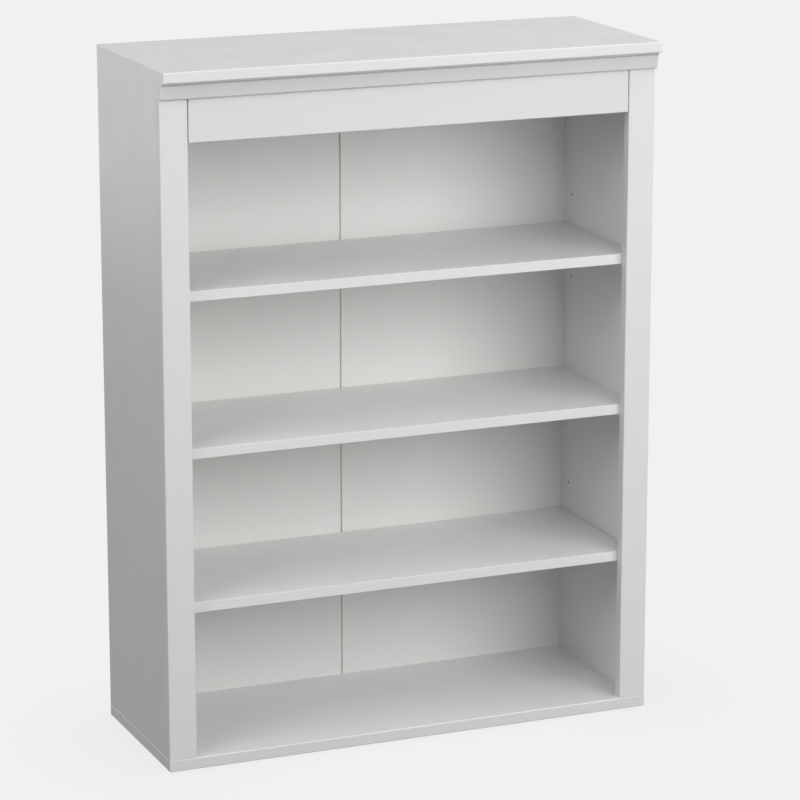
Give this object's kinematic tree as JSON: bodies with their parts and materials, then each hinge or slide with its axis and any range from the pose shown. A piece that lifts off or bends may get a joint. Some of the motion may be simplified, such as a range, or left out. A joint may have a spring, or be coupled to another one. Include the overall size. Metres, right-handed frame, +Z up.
{
  "type": "bookcase with adjustable shelves",
  "caption": "Free-standing white bookcase with an open front, a fixed middle shelf and adjustable shelves on pull-out support pins.",
  "frame": {"origin": "centre of the bounding box at floor level: middle of the width, middle of the depth from the front of the top board to the back", "axes": "+X to the right seen from the front, +Y from the open front to the back, +Z up"},
  "size_m": [0.9, 0.348, 1.204],
  "materials": {
    "white_board": "smooth white foil on particle board",
    "painted_frame": "satin white paint",
    "edge_band": "satin white edge strip",
    "white_hardboard": "white lacquered hardboard",
    "tape": "matte film",
    "bright_steel": "nickel plated",
    "zinc_steel": "zinc plated",
    "cam_zinc": "die cast zinc",
    "beech": "bare fluted beech"
  },
  "bodies": {
    "case": {"bottom_panel": "white_board", "top_panel": "white_board", "left_side_panel": "white_board", "right_side_panel": "white_board", "middle_shelf": "white_board", "left_stile": "painted_frame", "right_stile": "painted_frame", "fascia_rail": "painted_frame", "cornice_moulding": "painted_frame", "middle_shelf_edge_band": "edge_band", "back_panel_left": "white_hardboard", "back_panel_right": "white_hardboard", "back_fold_tape": "tape", "top_cam_bolts": "zinc_steel", "shelf_cam_bolts": "zinc_steel", "bottom_screws": "zinc_steel", "cornice_screws": "zinc_steel", "back_panel_nails": "zinc_steel", "wall_bracket_screws": "zinc_steel", "left_wall_bracket": "zinc_steel", "right_wall_bracket": "zinc_steel", "top_cam_discs": "cam_zinc", "shelf_cam_discs": "cam_zinc", "stile_dowels": "beech", "rail_dowels": "beech", "top_dowels": "beech", "bottom_dowels": "beech", "middle_shelf_dowels": "beech"},
    "lower_shelf": {"lower_shelf": "white_board", "lower_shelf_edge_band": "edge_band"},
    "upper_shelf": {"upper_shelf": "white_board", "upper_shelf_edge_band": "edge_band"},
    "lower_shelf_pin_left_front": {"lower_shelf_pin_left_front": "bright_steel"},
    "lower_shelf_pin_left_back": {"lower_shelf_pin_left_back": "bright_steel"},
    "lower_shelf_pin_right_front": {"lower_shelf_pin_right_front": "bright_steel"},
    "lower_shelf_pin_right_back": {"lower_shelf_pin_right_back": "bright_steel"},
    "upper_shelf_pin_left_front": {"upper_shelf_pin_left_front": "bright_steel"},
    "upper_shelf_pin_left_back": {"upper_shelf_pin_left_back": "bright_steel"},
    "upper_shelf_pin_right_front": {"upper_shelf_pin_right_front": "bright_steel"},
    "upper_shelf_pin_right_back": {"upper_shelf_pin_right_back": "bright_steel"}
  },
  "joints": [
    {"name": "lower_shelf_lift", "type": "slide", "parent": "case", "child": "lower_shelf", "axis": [0, 0, 1], "range_m": [0, 0.076]},
    {"name": "upper_shelf_lift", "type": "slide", "parent": "case", "child": "upper_shelf", "axis": [0, 0, 1], "range_m": [0, 0.076]},
    {"name": "lower_shelf_pin_left_front_pull", "type": "slide", "parent": "case", "child": "lower_shelf_pin_left_front", "axis": [1, 0, 0], "range_m": [0, 0.012]},
    {"name": "lower_shelf_pin_left_back_pull", "type": "slide", "parent": "case", "child": "lower_shelf_pin_left_back", "axis": [1, 0, 0], "range_m": [0, 0.012]},
    {"name": "lower_shelf_pin_right_front_pull", "type": "slide", "parent": "case", "child": "lower_shelf_pin_right_front", "axis": [-1, 0, 0], "range_m": [0, 0.012]},
    {"name": "lower_shelf_pin_right_back_pull", "type": "slide", "parent": "case", "child": "lower_shelf_pin_right_back", "axis": [-1, 0, 0], "range_m": [0, 0.012]},
    {"name": "upper_shelf_pin_left_front_pull", "type": "slide", "parent": "case", "child": "upper_shelf_pin_left_front", "axis": [1, 0, 0], "range_m": [0, 0.012]},
    {"name": "upper_shelf_pin_left_back_pull", "type": "slide", "parent": "case", "child": "upper_shelf_pin_left_back", "axis": [1, 0, 0], "range_m": [0, 0.012]},
    {"name": "upper_shelf_pin_right_front_pull", "type": "slide", "parent": "case", "child": "upper_shelf_pin_right_front", "axis": [-1, 0, 0], "range_m": [0, 0.012]},
    {"name": "upper_shelf_pin_right_back_pull", "type": "slide", "parent": "case", "child": "upper_shelf_pin_right_back", "axis": [-1, 0, 0], "range_m": [0, 0.012]}
  ]
}
